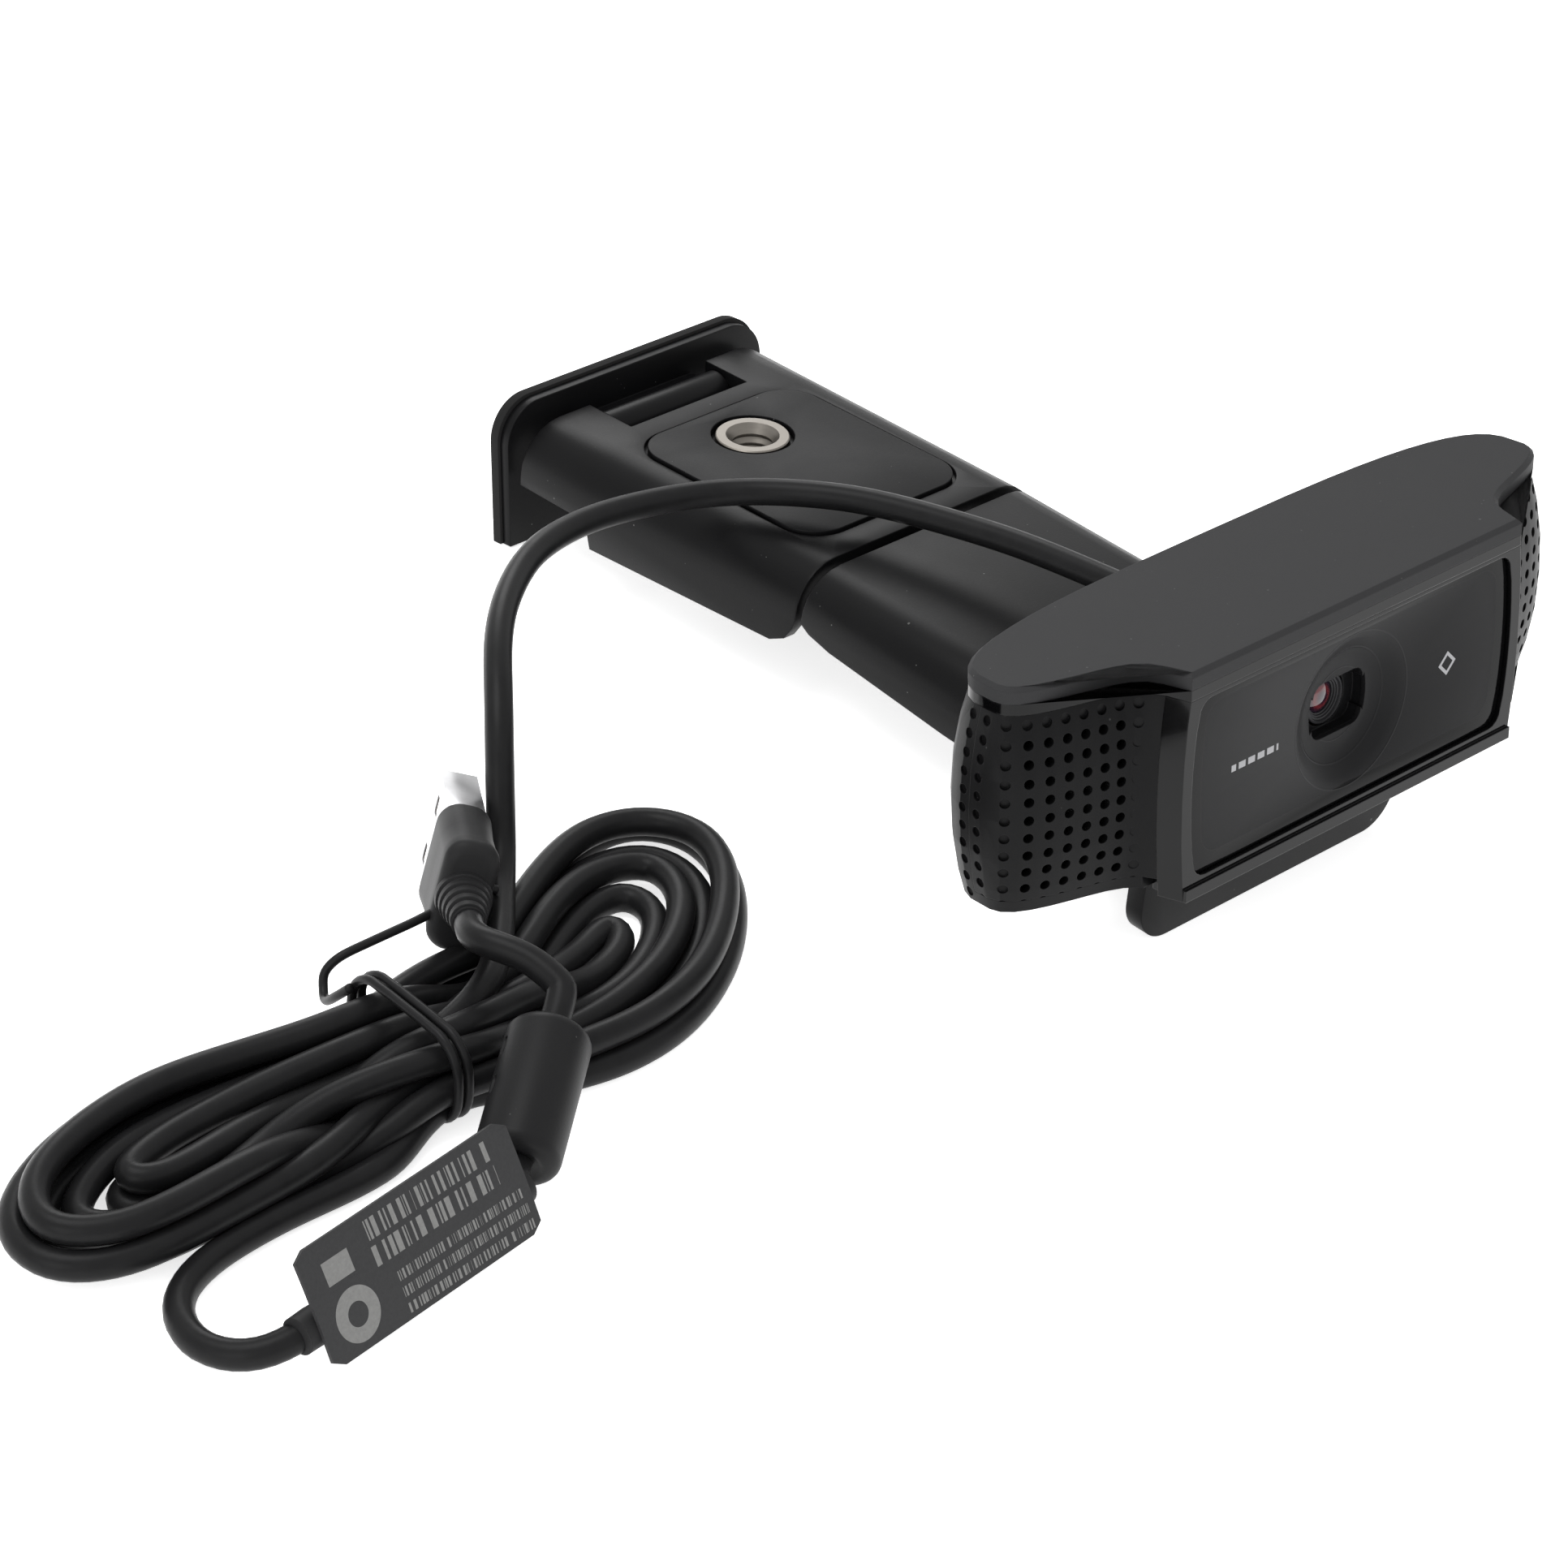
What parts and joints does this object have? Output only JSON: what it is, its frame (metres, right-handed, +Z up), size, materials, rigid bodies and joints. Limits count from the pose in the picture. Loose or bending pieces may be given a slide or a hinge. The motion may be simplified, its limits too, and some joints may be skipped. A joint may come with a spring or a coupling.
{
  "type": "webcam on a folding clip stand",
  "caption": "Wide webcam head with side sound grilles on a folding clip stand with tripod socket, its USB cord tied in a hank.",
  "frame": {"origin": "on the table, under the middle of the stand and head without the cord", "axes": "+Z up, camera looks along -Y, the stand's leg runs to +Y, +X to the side of the head opposite the cord"},
  "size_m": [0.2111, 0.1272, 0.0434],
  "materials": {
    "cover_matte": "matte black moulded plastic",
    "gloss_black": "gloss black plastic",
    "grille_satin": "satin black plastic",
    "window_grey": "dark grey window behind a clear gloss face",
    "lens_black": "matte black lens parts",
    "lens_glass": "coated lens glass",
    "coil": "focus coil in its carrier",
    "silicon": "image sensor package",
    "board": "green circuit board",
    "chip": "black chip package",
    "socket": "cream socket",
    "mic": "microphone can",
    "rubber": "black rubber",
    "light_guide": "clear light guide",
    "steel": "plain steel",
    "clip_satin": "satin black plastic of the stand",
    "brass": "threaded insert",
    "cord": "satin black cord jacket",
    "label": "dark label with pale print",
    "plug_grey": "grey plug overmould",
    "plug_metal": "plug shell",
    "plug_white": "white plug tongue",
    "gold": "plug contacts"
  },
  "bodies": {
    "arm": {"arm_shell": "clip_satin", "front_lip": "clip_satin", "lip_pad": "rubber", "arm_knuckle": "clip_satin", "fold_pin": "steel", "cord_lead": "cord", "cord_hank": "cord", "cord_tail": "cord", "cord_link": "cord", "cord_loop": "cord", "tie_wire": "rubber", "ferrite_core": "cord", "label_sleeve": "label", "plug_body": "plug_grey", "plug_shell": "plug_metal", "plug_tongue": "plug_white", "plug_contacts": "gold"},
    "head": {"top_cover": "cover_matte", "trim_band": "gloss_black", "rear_shell": "grille_satin", "left_grille": "grille_satin", "right_grille": "grille_satin", "front_bezel": "gloss_black", "front_window": "window_grey", "lens_hood": "lens_black", "focus_coil": "coil", "image_sensor": "silicon", "sensor_board": "board", "main_board": "board", "processor_chip": "chip", "cord_socket": "socket", "inner_cord": "cord", "left_microphone": "mic", "right_microphone": "mic", "left_mic_boot": "rubber", "right_mic_boot": "rubber", "light_guides": "light_guide", "housing_screws": "steel", "tilt_pin": "steel", "strain_relief": "rubber"},
    "lens": {"lens_barrel": "lens_black", "lens_glass": "lens_glass"},
    "leg": {"leg_shell": "clip_satin", "leg_knuckles": "clip_satin", "tripod_panel": "clip_satin", "threaded_insert": "brass", "leg_screws": "steel", "toe_pin": "steel"},
    "toe": {"toe_plate": "clip_satin", "toe_pad": "rubber"}
  },
  "joints": [
    {"name": "head_tilt", "type": "hinge", "parent": "arm", "child": "head", "pos_m": [0, -0.04623, 0.01748], "axis": [1, 0, 0], "range_deg": [-10, 10], "deforming": ["cord_lead"]},
    {"name": "lens_focus", "type": "slide", "parent": "head", "child": "lens", "axis": [0, -0.9928, 0.1201], "range_m": [-0.0002, 0.0003]},
    {"name": "leg_fold", "type": "hinge", "parent": "arm", "child": "leg", "pos_m": [0, 0.00734, 0.0106], "axis": [1, 0, 0], "range_deg": [-170, 0]},
    {"name": "toe_turn", "type": "hinge", "parent": "leg", "child": "toe", "pos_m": [0, 0.05513, 0.01472], "axis": [1, 0, 0], "range_deg": [-12, 90]}
  ]
}
